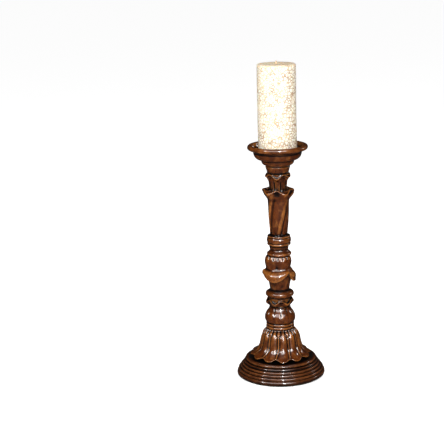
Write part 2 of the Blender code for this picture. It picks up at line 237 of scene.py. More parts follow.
def close_on_axis(mesh):
    """Merges the points that lie on the axis, which closes the ends of a solid piece."""
    shape = bmesh.new()
    shape.from_mesh(mesh)
    bmesh.ops.remove_doubles(shape, verts=shape.verts, dist=1e-6)
    shape.to_mesh(mesh)
    shape.free()


def turned_points(outline, around, relief=None, inside=0, tips=None):
    """Turns an outline round the axis; a leafy one swings between its two curves as tips(angle) says."""
    rows = np.array([row if len(row) == 4 else (*row, *row) for row in outline])
    angle = np.repeat((np.arange(around) * TURN / around - math.pi)[None, :], len(rows), 0)
    share = tips(angle) if tips else 1
    radius, height = (rows[:, i:i + 1] * share + rows[:, i + 2:i + 3] * (1 - share) for i in (0, 1))
    radius, height = radius + 0 * angle, height + 0 * angle
    if relief:
        outer = radius > inside
        carved = relief(radius, angle, height)
        radius, angle, height = (np.where(outer, a, b) for a, b in zip(carved, (radius, angle, height)))
    return np.stack([radius * np.sin(angle), -radius * np.cos(angle), height], -1)


def place(mesh, name, node, material, body="stick", sharp=60):
    """Puts a finished mesh in its node's place."""
    mesh.shade_smooth()
    mesh.set_sharp_from_angle(angle=math.radians(sharp))
    mesh.materials.append(material)
    made = bpy.data.objects.new(name, mesh)
    bpy.context.scene.collection.objects.link(made)
    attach(made, body)
    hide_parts(node)
    return made


def wooden(name, node, outline, material, relief=None, around=PLAIN, inside=0, tips=None, tone=None):
    points = turned_points(outline, around, relief, inside, tips)
    return place(ring_mesh(name, points, tone), name, node, material)


def solid_turning(name, outline, around):
    """A turned mesh whose outline starts and ends on the axis."""
    mesh = ring_mesh(name, turned_points(outline, around))
    close_on_axis(mesh)
    return mesh


# ---------------------------------------------------------------- materials

class Nodes:
    """Short calls for building a material's node tree."""

    def __init__(self, name):
        self.material = bpy.data.materials.new(name)
        self.material.use_nodes = True
        self.tree = self.material.node_tree
        self.shader = self.tree.nodes["Principled BSDF"]

    def add(self, kind, **values):
        node = self.tree.nodes.new("ShaderNode" + kind)
        for key, value in values.items():
            setattr(node, key, value)
        return node

    def put(self, socket, value):
        if isinstance(value, bpy.types.NodeSocket):
            self.tree.links.new(value, socket)
        elif isinstance(value, tuple) and socket.type == "RGBA":
            socket.default_value = (*value, 1)
        else:
            socket.default_value = value

    def set(self, **values):
        for key, value in values.items():
            self.put(self.shader.inputs[key.replace("_", " ")], value)

    def coordinates(self, scale=(1, 1, 1)):
        mapping = self.add("Mapping")
        self.put(mapping.inputs["Vector"], self.add("TexCoord").outputs["Object"])
        mapping.inputs["Scale"].default_value = scale
        return mapping.outputs["Vector"]

    def noise(self, scale, detail=3.0, stretch=(1, 1, 1), distortion=0.0):
        node = self.add("TexNoise")
        self.put(node.inputs["Vector"], self.coordinates(stretch))
        node.inputs["Scale"].default_value = scale
        node.inputs["Detail"].default_value = detail
        node.inputs["Distortion"].default_value = distortion
        return node.outputs["Fac"]

    def math(self, operation, a, b=0.0):
        node = self.add("Math", operation=operation)
        self.put(node.inputs[0], a)
        self.put(node.inputs[1], b)
        return node.outputs[0]

    def between(self, value, start, end, low=0.0, high=1.0):
        """Maps value smoothly from the range start..end to the range low..high."""
        node = self.add("MapRange", interpolation_type="SMOOTHSTEP")
        ends = {"Value": value, "From Min": start, "From Max": end, "To Min": low, "To Max": high}
        for key, item in ends.items():
            self.put(node.inputs[key], item)
        return node.outputs[0]

    def mix(self, factor, a, b):
        node = self.add("Mix", data_type="RGBA")
        for socket, value in zip((node.inputs[0], node.inputs[6], node.inputs[7]), (factor, a, b)):
            self.put(socket, value)
        return node.outputs[2]

    def attribute(self, name):
        return self.add("Attribute", attribute_name=name).outputs["Fac"]

    def occlusion(self, distance):
        node = self.add("AmbientOcclusion", samples=8)
        node.inputs["Distance"].default_value = distance
        return node.outputs["AO"]

    def bump(self, height, distance, strength=1.0, normal=None):
        node = self.add("Bump")
        self.put(node.inputs["Height"], height)
        node.inputs["Distance"].default_value = distance
        node.inputs["Strength"].default_value = strength
        if normal:
            self.put(node.inputs["Normal"], normal)
        return node.outputs["Normal"]


# Near-black glaze, also the colour of the painted shade in corners
GLAZE_AND_SHADE = (0.002, 0.001, 0.0008)


def glazed_wood(name, body, shade, gold):
    """Stained hardwood: dark glaze and painted shade in the hollows, ridges rubbed to a lighter gold."""
    n = Nodes(name)
    # The hollow value holds the carving's curvature plus each piece's tone, which on some pieces adds
    # painted shade and painted sheen
    hollow = n.attribute("hollow")
    grain = n.noise(100, 4, (1, 1, 0.2))
    cloud = n.noise(95, 5, (1, 1, 0.6))
    colour = n.mix(n.between(grain, 0.38, 0.62, 0.0, 0.75), body, shade)
    colour = n.mix(n.between(cloud, 0.52, 0.7, 0.0, 0.45), colour, gold)
    colour = n.mix(n.between(cloud, 0.48, 0.3, 0.0, 0.7), colour, shade)
    # Painted shade: ambient occlusion darkens corners and recesses towards the glaze colour, standing
    # partly for glaze gathered there
    colour = n.mix(n.between(n.occlusion(0.022), 0.95, 0.55, 0.0, 0.97), colour, GLAZE_AND_SHADE)
    # Gold on rubbed ridges; where a piece's tone lightens the hollow value, this gold is painted sheen
    # and painted reflection
    wear_and_sheen = n.math("MULTIPLY", n.between(hollow, 0.45, 0.22), n.between(cloud, 0.35, 0.6, 0.4, 0.95))
    colour = n.mix(wear_and_sheen, colour, gold)
    colour = n.mix(n.between(hollow, 0.51, 0.7, 0.0, 0.96), colour, GLAZE_AND_SHADE)
    flecks = n.noise(600, 2, (1, 1, 0.4))
    colour = n.mix(n.between(flecks, 0.53, 0.66, 0.0, 0.45), colour, GLAZE_AND_SHADE)
    relief = n.bump(cloud, 0.0002, 0.4, n.bump(grain, 0.0001, 0.3))
    n.set(Base_Color=colour, Roughness=0.3, Specular_IOR_Level=0.25, Normal=relief)
    n.set(Coat_Weight=1.0, Coat_Roughness=n.between(cloud, 0.3, 0.7, 0.06, 0.12), Coat_IOR=1.6)
    n.set(Coat_Normal=relief)
    return n.material


def crackled_wax():
    """Ivory wax under a fine tan crackle, browner over the top and, as painted shade, on the right."""
    n = Nodes("crackled_wax")
    warp = n.add("TexNoise")
    n.put(warp.inputs["Vector"], n.coordinates())
    warp.inputs["Scale"].default_value = 180
    shifted = n.add("VectorMath", operation="MULTIPLY_ADD")
    n.put(shifted.inputs[0], warp.outputs["Color"])
    shifted.inputs[1].default_value = (3 * MM, 3 * MM, 3 * MM)
    n.put(shifted.inputs[2], n.coordinates())
    cells = n.add("TexVoronoi", feature="DISTANCE_TO_EDGE")
    n.put(cells.inputs["Vector"], shifted.outputs[0])
    cells.inputs["Scale"].default_value = 165
    where = n.add("SeparateXYZ")
    n.put(where.inputs[0], n.coordinates())
    # Painted shade on the right side, partly a denser crackle: the lines grow wider and browner towards
    # +X
    to_right = n.between(where.outputs["X"], 0.0, CANDLE_RADIUS * MM, 0.0, 0.14)
    patches = n.math("ADD", n.noise(60, 2), to_right)
    width = n.between(patches, 0.35, 0.8, 0.12, 0.2)
    line = n.between(cells.outputs["Distance"], width, 0.02)
    tint = n.mix(n.between(patches, 0.3, 0.75), (0.6, 0.42, 0.2), (0.27, 0.135, 0.05))
    colour = n.mix(n.math("MULTIPLY", line, 0.85), (0.765, 0.725, 0.61), tint)
    top = high("candle_body")
    over_top = n.between(where.outputs["Z"], (top - 4.8) * MM, (top - 1.8) * MM, 0.0, 0.25)
    colour = n.mix(over_top, colour, (0.95, 0.64, 0.33))
    n.set(Base_Color=colour, Roughness=n.between(line, 0.0, 1.0, 0.42, 0.6))
    n.set(Normal=n.bump(line, 0.0004, 0.6))
    n.set(Subsurface_Weight=0.3, Subsurface_Radius=(0.006, 0.004, 0.002), Subsurface_Scale=1.0)
    n.set(Specular_IOR_Level=0.35)
    return n.material


def metal(name, bright, dull, brushed):
    """Metal with fine turning marks and cloudy tarnish."""
    n = Nodes(name)
    cloud = n.noise(160, 4)
    marks = n.noise(900, 2, (1, 1, 6) if brushed else (1, 1, 1))
    n.set(Base_Color=n.mix(n.between(cloud, 0.35, 0.7), bright, dull), Metallic=1.0)
    n.set(Roughness=n.between(cloud, 0.3, 0.7, 0.22, 0.42), Normal=n.bump(marks, 0.00004, 0.5))
    return n.material


def fibres(name, light, dark, scale, depth):
    """Felt or cotton: matt, with a fuzzy bump and mottled colour."""
    n = Nodes(name)
    fuzz = n.noise(scale, 5, distortion=0.4)
    n.set(Base_Color=n.mix(n.between(fuzz, 0.35, 0.65), dark, light), Roughness=0.95)
    n.set(Sheen_Weight=0.4, Specular_IOR_Level=0.1, Normal=n.bump(fuzz, depth, 0.8))
    return n.material


WOOD = glazed_wood("glazed_wood", (0.094, 0.021, 0.0025), (0.042, 0.0085, 0.0015), (0.25, 0.084, 0.015))
DARK_WOOD = glazed_wood("dark_glazed_wood", (0.05, 0.0112, 0.002), (0.024, 0.005, 0.0012),
                        (0.13, 0.04, 0.009))
WAX = crackled_wax()
BRASS = metal("brass", (0.83, 0.6, 0.24), (0.55, 0.36, 0.13), True)
STEEL = metal("steel", (0.62, 0.62, 0.64), (0.42, 0.42, 0.44), False)
FELT = fibres("felt", (0.028, 0.07, 0.036), (0.012, 0.035, 0.017), 1400, 0.0004)
COTTON = fibres("wick_cotton", (0.7, 0.52, 0.33), (0.4, 0.25, 0.13), 2500, 0.0001)


# ---------------------------------------------------------------- wooden sections

def make_plinth():
    seat, deck = low("base_plinth"), high("base_plinth")
    outer = [(BELL_SPIGOT + GAP, deck)] + [(r, deck) for r in range(28, 66, 3)]
    outer += bead(66.2, 70.9, deck, 32.6) + bead(72.8, 74.4, 32, 27) + bead(76, 77.6, 26.8, 22)
    outer += bead(80, 81.6, 21.8, 16.6) + bead(83.8, 85.6, 16.4, 11) + bead(85.2, 88.5, 10.8, seat, 24)
    recess, roof, floor = 21.0, 17.0, low("base_bell") - GAP
    inner = [(recess, seat), (recess, roof), (ROD_BORE, roof), (ROD_BORE, floor)]
    inner += [(BELL_SPIGOT + GAP, floor)]
    wooden("turned_plinth", "base_plinth", outer + inner, DARK_WOOD, plinth_relief, 420, 60,
           tone=plinth_tone(deck))


def plinth_tone(deck):
    """Painted shadow of the bell on the deck round it, and dark glaze under the top bead."""
    def tone(radius, height):
        # The first term is the painted shadow on the deck; the joint is glaze under the top bead
        return 0.25 * (1 - ramp(radius, 63, 67)) + joints((deck - 9, 1.5))(radius, height)
    return tone


def plinth_relief(radius, angle, height):
    """Slightly uneven, and never outside the CAD plinth."""
    return radius - 0.2 + by_hand(angle, height, 0.2), angle, height


BELL_LOBES, BELL_PHASE = 12, 5


def bell_tips(angle):
    """Scallops: 1 on each tip, falling to the hollow between tips, where a small flap hangs."""
    distance = np.abs(in_lobe(angle, BELL_LOBES, BELL_PHASE))
    return np.clip(1 - (2 * distance) ** 2.2 + 0.3 * dome(0.5 - distance, 0.13, 1), 0, 1)


def bell_relief(seat):
    def relief(radius, angle, height):
        """Broad gadroons with a narrow reed between them, opening into a scalloped lip."""
        h = height - seat
        lip = 1 - ramp(h, 8, 24)
        lean = 4 * (1 - lip)
        distance = np.abs(in_lobe(angle, BELL_LOBES, BELL_PHASE + lean))
        broad = dome(distance, 0.42 + 0.06 * lip, 0.9)
        reed = 0.65 * dome(0.5 - distance, 0.1, 0.9)
        knobs = dome(np.abs(in_lobe(angle, 2 * BELL_LOBES, BELL_PHASE + lean)), 0.4, 0.5)
        at_top = ramp(h, 45, 54)
        shape = np.maximum(broad, reed) * (1 - at_top) + knobs * at_top
        depth = (4 - 1.2 * lip) * ramp(h, 2, 12) * (1 - shape)
        radius = radius - depth * (1 - 0.4 * lip) + by_hand(angle, height, 0.2)
        curl = 5 * (1 - np.cos(angle)) / 2 * bell_tips(angle) * ramp(radius, 48, 60)
        return radius, angle, height - 0.5 * depth * lip + curl
    return relief


def make_bell():
    seat = low("base_bell") + BELL_SPIGOT_LENGTH
    top = high("base_bell") - seat
    upper = [(28.9, 56.2), (31.6, 55), (35.2, 51), (38.2, 44.5), (40, 38), (41.5, 31), (43.1, 24.5)]
    tips = upper + [(45.2, 19.5), (48.8, 14.2), (53.6, 9), (58.2, 5.2), (60.4, 3.6), (60.6, 2.6),
                    (59, 2.2), (53, 4.8), (48, 6), (43, 4), (38, 0)]
    hollows = upper + [(44.6, 20.4), (46.6, 17), (49.2, 14.4), (51.8, 12.6), (53.2, 11.8), (53.4, 10.8),
                       (52.2, 10.2), (48.6, 10.2), (45.6, 8.6), (42, 5), (38, 0)]
    outer = [(27, top), (28.4, top)] + leafy(tips, hollows, 0.9)
    outline = with_spigot(raised(outer, seat), seat, BELL_SPIGOT_LENGTH, BELL_SPIGOT, COLLAR_SPIGOT)
    wooden("carved_bell", "base_bell", outline, WOOD, bell_relief(seat), 528, 26, bell_tips,
           joints((top + seat, 4)))


def make_bead_collar():
    bottom, top = low("bead_collar"), high("bead_collar")
    middle = (bottom + top) / 2
    outer = bead(25.4, 28, top, middle) + bead(25.4, 28.3, middle, bottom)[1:]
    wooden("turned_bead_collar", "bead_collar", sleeved(outer, COLLAR_SPIGOT + GAP), WOOD,
           tone=joints((top, 1), (middle, 0.8), (bottom, 1)))


def bulb_relief(seat):
    def relief(radius, angle, height):
        """Six leaves, each with a thin raised edge and a lens-shaped hollow in its middle."""
        h = height - seat
        off = np.abs(in_lobe(angle, 6, 4)) * 60
        body = hump(h, 0.5, 34, 0.2)
        upper = ramp(h, 14, 27)
        edges = -0.8 * bell_curve(off - 30, 4.5)
        hollow = bell_curve(radius * np.radians(off), 1.4) * bell_curve(h - 20, 4.5)
        radius = radius + edges * upper * body - 1.2 * hollow
        return radius, angle, height
    return relief


def make_bulb():
    bottom, seat = low("bulb_knop"), high("bead_collar") + GAP
    top = high("bulb_knop") - seat
    side = [(21.2, 32), (21.9, 29), (24.2, 25), (27.2, 20.8), (29.7, 15.4), (30.6, 10.6), (30.2, 6),
            (28.6, 2.2), (27, 0.4)]
    outer = [(20.6, top)] + fair(side) + [(26, 0)]
    outline = with_spigot(raised(outer, seat), seat, seat - bottom, COLLAR_SPIGOT)
    wooden("carved_bulb", "bulb_knop", outline, WOOD, bulb_relief(seat), FINE, 16,
           tone=joints((seat, 1), (top + seat, 4)))


def lower_leaf_tips(angle):
    """Six leaves: 1 on each tip and 0 in the hollows between."""
    return 0.5 + 0.5 * wave(angle, 6, 36)


def lower_leaf_relief(radius, angle, height):
    """The wavy lip hangs a little lower left of the front."""
    lift = (1.7 - 1.5 * wave(angle, 1, -27)) * ramp(radius, 22, 27)
    return radius + by_hand(angle, height, 0.15), angle, height + lift


def make_lower_leaf():
    seat, top = low("lower_leaf_collar"), high("lower_leaf_collar")
    tips = [(21, 0.3), (22.4, 0.6), (24.4, 1.4), (26.6, 3), (27.9, 4.4), (28.3, 5.6), (27.6, 6.4),
            (25.8, 6.2), (23.4, 5.9), (21.1, 6.6), (20.8, 10.4)]
    hollows = [(21, 0.3), (21.8, 2.6), (22.8, 5), (23.8, 7.4), (24.8, 9.4), (25.8, 10.8), (26.3, 11.8),
               (25.6, 12.3), (24, 11.8), (22.4, 11.4), (20.8, 11.4)]
    lip = leafy(tips, hollows)[::-1]
    outer = [(20.4, top)] + raised(lip, seat) + [(20.8, seat)]
    wooden("carved_lower_leaf", "lower_leaf_collar", sleeved(outer), WOOD, lower_leaf_relief, FINE, 20.7,
           lower_leaf_tips)


def ring_relief(radius, angle, height):
    """Slightly uneven turning."""
    return radius - 0.1 + by_hand(angle, height, 0.12), angle, height


def make_stem_ring():
    bottom, top = low("stem_ring"), high("stem_ring")
    outer = [(20.4, top)] + bead(21.8, 28.5, top - 1.2, bottom + 3, 30) + [(21.8, bottom)]
    wooden("turned_stem_ring", "stem_ring", sleeved(outer), WOOD, ring_relief, PLAIN, 20,
           tone=joints((top, 1), (bottom + 1, 2)))


def skirt_tips(angle):
    """The skirt dips under each lobe of the tulip, most broadly on the right, with a crest between."""
    power = np.where(wave(angle, 1, 99) > 0.5, 4.5, 1.8)
    return 1 - (2 * np.abs(in_lobe(angle, 3, -21))) ** power


def sleeve_relief(seat):
    def relief(radius, angle, height):
        """A three-lobed tulip over a skirt, soft grooves in the neck, and folds under the collar."""
        h = height - seat
        lip = ramp(radius, 26.5, 32)
        body = hump(h, 40, 80, 0.25) * (1 - lip)
        crease = bell_curve(in_lobe(angle, 3, -13), 0.08)
        lean = 1.3 + 1.3 * np.sin(angle)
        radius = radius - (1.3 * wave(angle, 3, -20) + 0.9 * crease + lean) * body
        folds = dome(np.abs(in_lobe(angle, 16, 5)), 0.42, 0.5) - 1
        radius = radius + 1.5 * folds * ramp(h, 62, 68) - 1.8 * wave(angle, 1, 80) * lip
        right = np.maximum(wave(angle, 1, 99), 0) ** 2 * (radius > 24.5) * ramp(h, 20, 24)
        radius = radius + 3 * right * bell_curve(h - 38, 6)
        height = height - 4.5 * right * ramp(radius, 24.5, 28.5)
        neck = 0.5 * wave(angle, 8, 38) * hump(h, 2, 30) * (radius < 24)
        return radius + neck + by_hand(angle, height, 0.12), angle, height
    return relief


def sleeve_tone(seat, top):
    """Dark at the joints and rubbed to gold on the skirt."""
    def tone(radius, height):
        skirt = ramp(radius, 26.4, 29) * ramp(top - height, 24, 29)
        return joints((seat, 3), (top, 1.5))(radius, height) - 0.17 * skirt
    return tone


def make_sleeve():
    bottom, seat = low("leaf_sleeve"), high("stem_ring") + GAP
    top = high("leaf_sleeve") - seat
    above = [(25.2, 70), (27, 66), (27.8, 60.5), (27.2, 55), (26.2, 50.5)]
    below = [(21.6, 17), (20.4, 11), (19.6, 5), (19.3, 2.5), (19.3, 0)]
    tips = [(25.6, 47), (25.8, 43), (27.3, 40.8), (29.8, 38.3), (32, 35.6), (33.4, 32.4), (34, 28.5),
            (34.2, 23.4), (32.8, 21.4), (30.6, 22), (27.6, 23.6), (24.8, 23.6), (22.8, 20.6)]
    hollows = [(25.8, 47.6), (26.4, 45.8), (27.4, 44.8), (28.6, 44.2), (29.8, 43.6), (30.9, 43),
               (31.6, 42.2), (31.7, 41.2), (31, 40.2), (29.2, 39.4), (26.8, 37.4), (24.6, 33), (22.8, 26)]
    outer = [(23.4, top)] + leafy(above + tips + below, above + hollows + below, 0.8)
    outline = with_spigot(raised(outer, seat), seat, seat - bottom)
    wooden("carved_sleeve", "leaf_sleeve", outline, WOOD, sleeve_relief(seat), FINE, 13, skirt_tips,
           sleeve_tone(seat, top + seat))


def make_cavetto():
    bottom, top = low("cavetto_collar"), high("cavetto_collar")
    drop = [(18.4, 1.4), (18.8, 3.6), (20.4, 6), (22.8, 8), (24.2, 9.6), (24.4, 11.4), (23.6, 13.7)]
    outer = [(18.8, top)] + fair([(radius, top - down) for radius, down in drop], 0.5) + [(22.8, bottom)]
    wooden("turned_cavetto", "cavetto_collar", sleeved(outer), WOOD, ring_relief, PLAIN, 16,
           tone=joints((top, 2), (bottom, 0.8)))


def make_bead_ring():
    bottom, top = low("bead_ring"), high("bead_ring")
    outer = [(18.6, top)] + bead(20.4, 22.9, top - 0.2, top - 4.4) + bead(22, 24.3, top - 4.6, top - 15)
    outer += bead(21.4, 23.5, top - 15.4, top - 20)
    outer += fair([(20.4, top - 20.6), (19.4, top - 22.6), (18.8, bottom)], 0.5)
    wooden("turned_bead_ring", "bead_ring", sleeved(outer), WOOD, ring_relief, PLAIN, 16,
           tone=joints((top, 1.4), (top - 4.5, 1), (top - 15.2, 1), (top - 21, 1.5)))


def stem_tips(angle):
    """Five leaves: 1 on each tip and 0 in the hollows between."""
    return 0.5 + 0.5 * wave(angle, 5, 30)


def twist_relief(seat):
    def relief(radius, angle, height):
        """Leaves that climb round the stem, each with a broad raised edge and a groove beside it.

        The five leaves turn 0.56 of a degree a millimetre, and their tips curl up at the sides.
        """
        h = height - seat
        spread = angle - 0.2 * np.sin(angle - np.radians(3))
        lap = (in_lobe(spread, 5, 18 + 0.56 * (h - 30.6)) - 0.18) % 1
        leaf = 0.4 * ramp(lap, 0, 0.3) + 0.6 * bell_curve(lap - 0.75, 0.19) - 0.4 * ramp(lap, 0.84, 1)
        lip = ramp(h, 70, 80)
        radius = radius + 2.4 * (leaf - 0.8) * ramp(h, -2, 6) * (1 - lip)
        radius = radius + (1 - 1.2 * np.sin(angle)) * lip
        radius = radius + 2.4 * np.maximum(np.sin(angle), 0) ** 4 * bell_curve(h - 79, 4) * (radius > 22)
        curl = 5.5 * np.sin(angle) ** 2 * stem_tips(angle) * ramp(h, 74, 84)
        return radius + by_hand(angle, height, 0.15), angle, height + curl
    return relief


def make_twisted_stem():
    bottom, seat = low("twisted_stem"), high("bead_ring") + GAP
    cup = low("fluted_neck") + SOCKET_DEPTH - 2 * GAP - seat
    below = [(17.1, 4), (17.6, 11), (18.5, 20), (19.6, 30), (20.6, 40), (21, 48), (21.4, 56), (21.9, 64)]
    tips = below + [(22.8, 70), (25, 74.4), (27.6, 77.6), (29.8, 80), (31.4, 82), (32, 83.8),
                    (31.6, 85.2), (30.4, 86.2), (28, 87.2), (25, 88), (21.6, 88.4), (18, 88.4)]
    hollows = below + [(22.2, 70), (22.8, 75.4), (23.4, 80), (24.2, 84.4), (25.4, 88.2), (26.6, 91.2),
                       (26.8, 92.6), (25.8, 93.2), (24.4, 92.4), (22.6, 91), (20.4, 89.6), (18, 88.8)]
    outer = [(17.8, cup), (17.8, 88)] + leafy(tips, hollows, 0.6)[::-1] + [(17, 0)]
    outline = with_spigot(raised(outer, seat), seat, seat - bottom)
    wooden("carved_twisted_stem", "twisted_stem", outline, WOOD, twist_relief(seat), FINE, 16.5,
           stem_tips, stem_tone(seat))


def stem_tone(seat):
    """Dark at the joint, and a painted sheen of lighter gold along the climbing leaves."""
    def tone(radius, height):
        h = height - seat
        # The ridge mask lays the painted sheen on the raised edges of the climbing leaves
        ridge = ramp(radius - np.interp(h, (4, 20, 40, 64), (17.1, 18.5, 20.6, 21.9)), -0.5, 0.4)
        return joints((seat, 4))(radius, height) - 0.13 * ridge * hump(h, 4, 72) + 0.06 * ramp(h, 68, 76)
    return tone


def neck_tips(angle):
    """Five leaves: 1 on each tip and 0 in the hollows between."""
    return 0.5 + 0.5 * wave(angle, 5, -7)


def flutes_relief(seat):
    def relief(radius, angle, height):
        """Nine flutes under a lip that curls up at the sides."""
        h = height - seat
        distance = np.abs(in_lobe(angle, 9, -4))
        flute = dome(distance, 0.44, 0.6) - 1
        radius = radius + 1.5 * flute * ramp(h, -2, 2) * (1 - ramp(h, 22, 30))
        curl = 3 * np.sin(angle) ** 2 * neck_tips(angle) * ramp(h, 28, 32) * (radius > 21.5)
        return radius + by_hand(angle, height, 0.12), angle, height + curl
    return relief


def make_fluted_neck():
    bottom = low("fluted_neck")
    seat = bottom + SOCKET_DEPTH - GAP
    cup = low("pan_neck") + PAN_SPIGOT_LENGTH - GAP - seat
    below = [(17.1, 4), (17.3, 10), (17.8, 17), (18.3, 22)]
    tips = below + [(18.8, 25.6), (19.8, 28.4), (21.4, 30.2), (23.4, 31.3), (25.2, 32.2), (25.9, 33.2),
                    (25, 34.2), (22.8, 34.8), (21.6, 36.8), (21.5, 41)]
    hollows = below + [(18.5, 26.4), (19, 30.6), (19.9, 34.4), (21.2, 37.6), (22.5, 39.6), (23.4, 40.6),
                       (23.5, 41.6), (22.9, 42), (22.2, 41.6), (21.5, 41)]
    outer = [(18.8, cup), (19.9, cup + 5), (21, 41)] + leafy(tips, hollows)[::-1] + [(17.1, 0)]
    outline = with_spigot(raised(outer, seat), seat, seat - bottom, socket=PAN_SPIGOT_LENGTH + GAP)
    wooden("carved_fluted_neck", "fluted_neck", outline, WOOD, flutes_relief(seat), FINE, 16.5,
           neck_tips, neck_tone(seat))


def neck_tone(seat):
    """Darker glaze in the flutes than on the lip."""
    def tone(radius, height):
        return 0.08 * (1 - ramp(height - seat, 26, 32)) + joints((seat, 6))(radius, height)
    return tone


def make_pan_neck():
    seat, top = low("pan_neck") + PAN_SPIGOT_LENGTH, high("pan_neck")
    side = [(24.2, top - 0.6), (24.4, top - 1.8), (23.2, top - 6), (21.4, top - 12.5), (19.6, top - 19)]
    outer = [(23.2, top)] + fair(side + [(18.2, seat)])
    outline = with_spigot(outer, seat, PAN_SPIGOT_LENGTH, socket=PAN_SPIGOT_LENGTH + GAP)
    wooden("turned_pan_neck", "pan_neck", outline, WOOD, ring_relief, PLAIN, 16,
           tone=joints((top, 1), (seat + 9, 4)))


def make_pan():
    """A dish with a round rim on two ovolo steps; its barrel hole is under the brass plate."""
    foot, rim_top = low("drip_pan"), high("drip_pan")
    seat, floor = foot + PAN_SPIGOT_LENGTH, rim_top - 9.3
    rim, barrel, barrel_seat = 4.9, 8.3, low("pricket_spike") - GAP
    centre = (54.6, rim_top - rim)
    outer = [(r, floor) for r in range(12, 46, 2)]
    outer += fair([(46.4, floor), (48.2, floor + 0.8), (49.2, floor + 3.2)])
    outer += arc(centre, rim, 170, -95, 44)
    outer += fair([(51, centre[1] - 6), (48.8, centre[1] - 7.2), (48, centre[1] - 8.6)])
    outer += ovolo((47.6, seat + 26.6), (34.4, seat + 12.4), 26) + [(33, seat + 11.8)]
    outer += ovolo((32.6, seat + 11.4), (26.4, seat + 2.2), 18) + [(24.2, seat + 1.2), (23.6, seat)]
    inner = [(SPIGOT, seat), (SPIGOT, foot), (ROD_BORE, foot), (ROD_BORE, barrel_seat)]
    inner += [(barrel, barrel_seat)]
    wooden("turned_pan", "drip_pan", [(barrel, floor)] + outer + inner, WOOD, ring_relief, 360, 20,
           tone=pan_tone(floor, rim_top))


def pan_tone(floor, top):
    """The wall of the dish is lightened to gold, a painted reflection, above a corner dark with painted
    shade.
    """
    def tone(radius, height):
        # The wall mask lays the painted reflection on the inside of the dish
        wall = ramp(radius, 44, 48) * (1 - ramp(radius, 50.5, 52.5))
        wall = wall * ramp(height, floor - 0.5, floor + 3)
        return joints((top - 15.4, 1), (top - 29, 1.2))(radius, height) - 0.28 * wall
    return tone


# ---------------------------------------------------------------- candle, brass, steel and felt

def make_candle():
    seat, top = low("candle_body"), high("candle_body")
    radius, edge, hole, wick_hole = CANDLE_RADIUS, 4.0, 2.8, 1.5
    outer = [(wick_hole, top - 0.8), (3, top - 0.7)]
    outer += fair([(6, top - 0.5), (14, top - 0.1), (24, top), (radius - edge, top)], 1.5)
    outer += arc((radius - edge, top - edge), edge, 85, 0, 10)
    outer += [(radius, height) for height in np.arange(top - edge - 2, seat + 2, -2)]
    outer += arc((radius - 1, seat + 1), 1, 0, -90, 4)
    inner = [(hole, seat), (hole, seat + 23), (wick_hole, seat + 23)]
    mesh = ring_mesh("pillar_candle", turned_points(outer + inner, PLAIN, wax_relief, 5))
    place(mesh, "pillar_candle", "candle_body", WAX, "candle")


def wax_relief(radius, angle, height):
    return radius - 0.15 + by_hand(angle, 0.3 * height, 0.15), angle, height


def make_wick():
    """Three strands of cotton twisted together."""
    bottom, top = low("candle_wick"), high("candle_wick") + 2
    heights = np.append(np.arange(top - 0.5, bottom, -0.4), bottom)
    outline = [(0, top), (0.5, top)] + [(1.0, height) for height in heights] + [(0, bottom)]

    def strands(radius, angle, height):
        lay = dome(np.abs(in_lobe(angle + 1.1 * height, 3, 0)), 0.55, 0.5)
        return radius * (0.75 + 0.42 * lay), angle, height

    mesh = ring_mesh("twisted_wick", turned_points(outline, 30, strands, 0.6))
    close_on_axis(mesh)
    place(mesh, "twisted_wick", "candle_wick", COTTON, "candle")


def cut_away(mesh, cutters):
    """Cuts the cutter meshes out of a mesh and returns the result."""
    piece = bpy.data.objects.new("blank", mesh)
    tools = [bpy.data.objects.new("cutter", cutter) for cutter in cutters]
    for item in [piece, *tools]:
        bpy.context.scene.collection.objects.link(item)
    for tool in tools:
        boolean = piece.modifiers.new("cut", "BOOLEAN")
        boolean.object = tool
    bpy.context.view_layer.update()
    graph = bpy.context.evaluated_depsgraph_get()
    result = bpy.data.meshes.new_from_object(piece.evaluated_get(graph))
    for item in [piece, *tools]:
        bpy.data.objects.remove(item)
    return result


def moved(mesh, x, y):
    mesh.transform(Matrix.Translation((x * MM, y * MM, 0)))
    return mesh


def centre_of(node):
    (x0, y0, _), (x1, y1, _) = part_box(node)
    return (x0 + x1) / 2 / MM, (y0 + y1) / 2 / MM


SCREWS = [f"plate_screw_{i + 1}" for i in range(3)]
SCREW_HEAD, SCREW_SHANK = 3.0, 1.5


def make_plate():
    """A brass disc with a softened edge and a countersunk hole round each screw."""
    bottom, top, radius, bore = low("pricket_plate"), high("pricket_plate"), 30.0, 2.8
    outline = [(r, top) for r in np.arange(bore, radius - 0.5, 1.5)]
    outline += arc((radius - 0.4, top - 0.4), 0.4, 90, 0, 5) + [(radius, bottom), (bore, bottom)]
    mesh = ring_mesh("brass_plate", turned_points(outline, 144))
    slope = (SCREW_HEAD - SCREW_SHANK) / (top - bottom) * GAP
    cutters = []
    for node in SCREWS:
        wide, narrow = SCREW_HEAD + GAP + slope, SCREW_SHANK + GAP - slope
        cone = [(0, top + GAP), (wide, top + GAP), (narrow, bottom - GAP), (0, bottom - GAP)]
        cutters.append(moved(solid_turning("cone", cone, 40), *centre_of(node)))
    place(cut_away(mesh, cutters), "brass_plate", "pricket_plate", BRASS, sharp=40)


def make_screw(node, slot_angle):
    """A countersunk screw with a slotted head."""
    bottom, top, plate = low(node), high(node), low("pricket_plate")
    outline = [(0, top), (SCREW_HEAD - 0.1, top), (SCREW_HEAD, top - 0.12), (SCREW_SHANK, plate)]
    outline += [(SCREW_SHANK, bottom + SCREW_SHANK), (0, bottom)]
    shape = bmesh.new()
    size = Matrix.Diagonal((8 * MM, 0.7 * MM, 1.2 * MM, 1))
    turn = Matrix.Rotation(math.radians(slot_angle), 4, "Z")
    bmesh.ops.create_cube(shape, size=1, matrix=Matrix.Translation((0, 0, top * MM)) @ turn @ size)
    driver_slot = bpy.data.meshes.new("driver_slot")
    shape.to_mesh(driver_slot)
    shape.free()
    mesh = moved(cut_away(solid_turning(node, outline, 40), [driver_slot]), *centre_of(node))
    place(mesh, f"slotted_{node}", node, BRASS, sharp=30)


